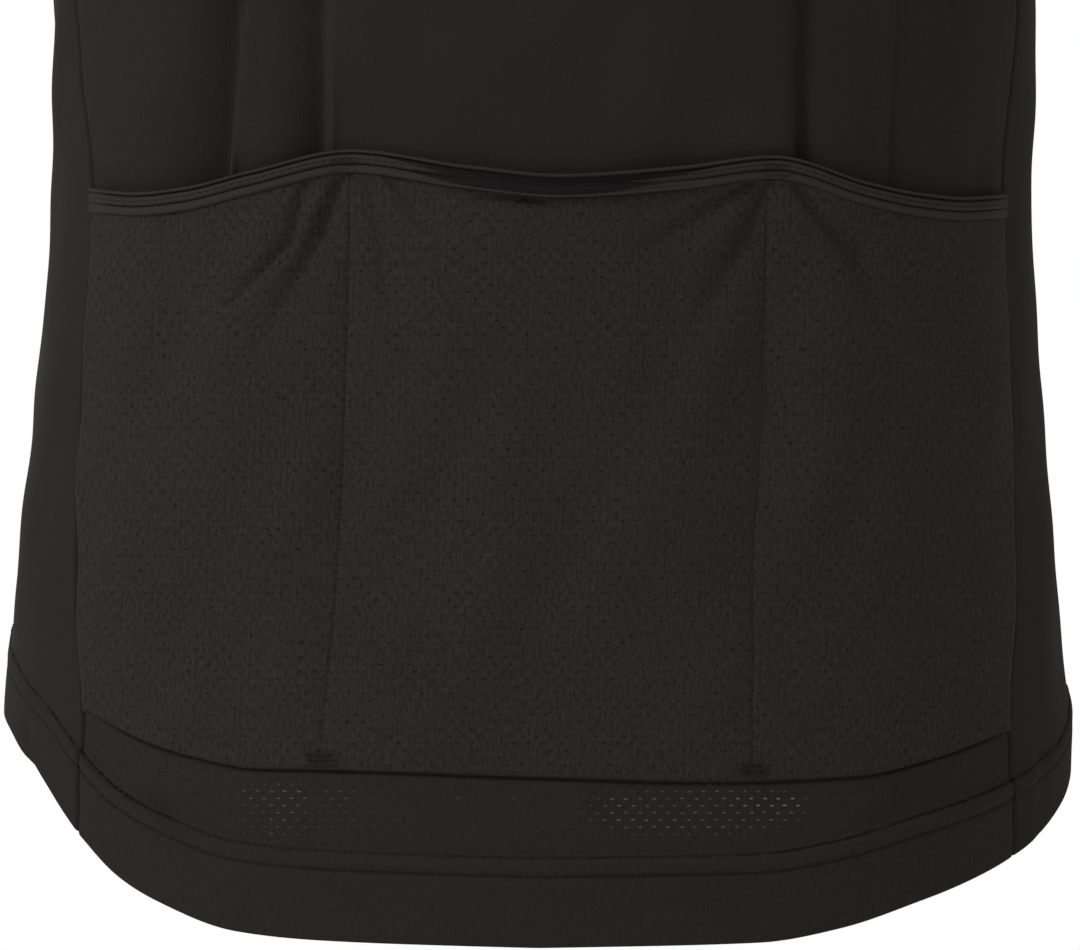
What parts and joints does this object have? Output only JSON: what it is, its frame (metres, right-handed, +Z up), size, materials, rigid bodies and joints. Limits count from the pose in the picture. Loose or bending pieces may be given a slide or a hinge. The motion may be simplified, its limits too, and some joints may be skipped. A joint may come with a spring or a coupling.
{
  "type": "cycling jersey",
  "caption": "Short-sleeve cycling jersey, filled out as worn, with a pocket panel across the lower back under an elastic binding, side panels, stand collar and front zip.",
  "frame": {"origin": "the wearer's shoulders: level with the high shoulder points, in the middle of the neck opening", "axes": "+Z up, -Y out of the front with its zip, +Y out of the back with its pockets, +X to the wearer's left"},
  "size_m": [0.6962, 0.2406, 0.7622],
  "materials": {
    "back_knit": "matte knit",
    "mesh_knit": "matte knitted mesh with small holes",
    "elastic": "matte elastic binding",
    "side_knit": "smooth matte knit",
    "zip_tape": "woven tape with a moulded coil",
    "zip_metal": "satin black"
  },
  "bodies": {
    "garment": {"back_panel": "back_knit", "pocket_panel": "mesh_knit", "pocket_band": "elastic", "side_panel_left": "side_knit", "side_panel_right": "side_knit", "front_left": "back_knit", "front_right": "back_knit", "sleeve_left": "back_knit", "sleeve_right": "back_knit", "collar": "back_knit", "zip": "zip_tape", "zip_slider": "zip_metal", "zip_box": "zip_metal"},
    "zip_pull": {"zip_pull": "zip_metal"}
  },
  "joints": [
    {"name": "pull_swing", "type": "hinge", "parent": "garment", "child": "zip_pull", "pos_m": [0, -0.09331, -0.03447], "axis": [-1, 0, 0], "range_deg": [-4, 150]}
  ]
}
